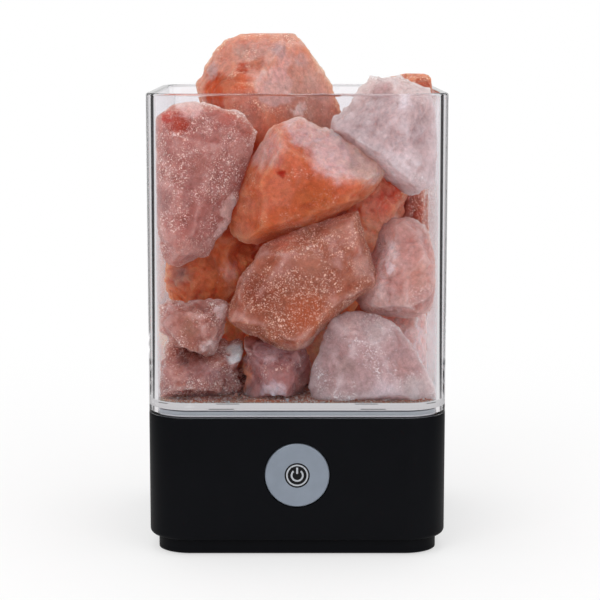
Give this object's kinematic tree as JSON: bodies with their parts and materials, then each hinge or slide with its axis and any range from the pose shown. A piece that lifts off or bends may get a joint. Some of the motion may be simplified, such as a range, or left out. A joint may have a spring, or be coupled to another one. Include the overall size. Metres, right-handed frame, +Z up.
{
  "type": "salt crystal lamp",
  "caption": "Table lamp with a square black base, a front push button and a clear open cup filled with rough pink salt stones lit from below.",
  "frame": {"origin": "middle of the footprint on the table", "axes": "+Z up, -Y towards the front face with the button, +X to the right seen from the front"},
  "size_m": [0.095, 0.095, 0.1647],
  "materials": {
    "black_plastic": "satin moulded",
    "clear_acrylic": "clear polished",
    "milky_plastic": "milky translucent",
    "white_plastic": "moulded",
    "circuit_board": "solder mask",
    "led_yellow": "phosphor",
    "screw_steel": "zinc plated",
    "screw_black": "blackened",
    "component_black": "moulded",
    "connector_white": "moulded",
    "wire_red": "extruded",
    "wire_black": "extruded",
    "wire_white": "extruded",
    "socket_steel": "nickel plated",
    "button_metal": "satin anodised",
    "icon_black": "printed",
    "icon_silver": "printed",
    "switch_black": "moulded",
    "switch_white": "moulded",
    "foot_rubber": "soft",
    "salt_pink": "rough crystalline",
    "salt_orange": "rough crystalline",
    "salt_pale": "rough crystalline"
  },
  "bodies": {
    "root": {"base_housing": "black_plastic", "board_components": "component_black", "bottom_cover": "black_plastic", "button_board": "circuit_board", "button_board_screws": "screw_steel", "button_leads": "wire_white", "cover_screws": "screw_black", "crystal_cup": "clear_acrylic", "foot_pads": "foot_rubber", "lead_connectors": "connector_white", "led_board": "circuit_board", "led_board_screws": "screw_steel", "led_chips": "led_yellow", "led_lead_black": "wire_black", "led_lead_red": "wire_red", "light_diffuser": "milky_plastic", "main_board": "circuit_board", "main_board_screws": "screw_steel", "reflector": "white_plastic", "reflector_screws": "screw_steel", "stone_bottom_centre": "salt_pink", "stone_bottom_left": "salt_pink", "stone_bottom_right": "salt_pale", "stone_core_left": "salt_orange", "stone_core_middle": "salt_orange", "stone_core_upper": "salt_pink", "stone_lower_gap_left": "salt_orange", "stone_lower_gap_right": "salt_orange", "stone_lower_left": "salt_pink", "stone_lower_right_rear": "salt_pink", "stone_middle_centre": "salt_pink", "stone_middle_left": "salt_orange", "stone_middle_right": "salt_pink", "stone_rear_bottom_centre": "salt_pink", "stone_rear_bottom_left": "salt_pink", "stone_rear_bottom_right": "salt_orange", "stone_rear_middle_centre": "salt_orange", "stone_rear_middle_left": "salt_pink", "stone_rear_middle_right": "salt_pale", "stone_rear_top_centre": "salt_orange", "stone_rear_top_left": "salt_pale", "stone_rear_top_right": "salt_pink", "stone_right_shoulder": "salt_pink", "stone_right_wedge": "salt_orange", "stone_top_right_rear": "salt_orange", "stone_upper_centre": "salt_orange", "tact_switch": "switch_black", "usb_shell": "socket_steel", "usb_tongue": "component_black"},
    "power_button": {"button_face": "button_metal", "button_icon_disc": "icon_black", "button_icon_marks": "icon_silver", "button_carrier": "black_plastic", "switch_plunger": "switch_white"},
    "stone_upper_left_lift": {"stone_upper_left": "salt_pink"},
    "stone_upper_right_lift": {"stone_upper_right": "salt_pale"},
    "stone_peak_lift": {"stone_peak": "salt_orange"}
  },
  "joints": [
    {"name": "power_button_press", "type": "slide", "parent": "root", "child": "power_button", "axis": [0, 1, 0], "range_m": [0, 0.0008], "stiffness_N_per_m": 1200, "springref_m": -0.0002},
    {"name": "upper_left_lift", "type": "slide", "parent": "root", "child": "stone_upper_left_lift", "axis": [0, 0, 1], "range_m": [0, 0.061]},
    {"name": "upper_right_lift", "type": "slide", "parent": "root", "child": "stone_upper_right_lift", "axis": [0, 0, 1], "range_m": [0, 0.038]},
    {"name": "peak_lift", "type": "slide", "parent": "root", "child": "stone_peak_lift", "axis": [0, 0, 1], "range_m": [0, 0.035]}
  ]
}
